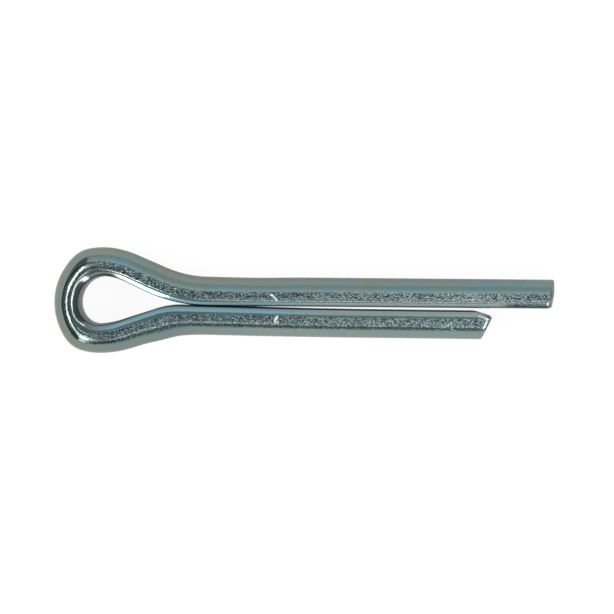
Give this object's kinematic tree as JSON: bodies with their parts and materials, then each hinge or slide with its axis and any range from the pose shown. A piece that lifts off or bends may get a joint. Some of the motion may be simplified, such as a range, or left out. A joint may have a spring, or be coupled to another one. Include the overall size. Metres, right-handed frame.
{
  "type": "cotter pin",
  "caption": "Split pin folded from half-round wire, with a round eye and straight legs of unequal length, for locking a cross-drilled pin, bolt or castle nut.",
  "frame": {"origin": "the seat: the middle of the mouth of the hole that the pin is pushed into, under the eye and on the shank's centre line", "axes": "+X along the shank from the seat to the tips, +Y to the long leg's side, +Z square to the plane that the wire is bent in"},
  "size_m": [0.0313, 0.0065, 0.0032],
  "materials": {
    "zinc_plated_steel": "soft steel wire, zinc plated and blue passivated: smooth satin on the round backs and rolled edges, a rougher grain on the facets"
  },
  "bodies": {
    "root": {"split_pin": "zinc_plated_steel"}
  },
  "joints": []
}
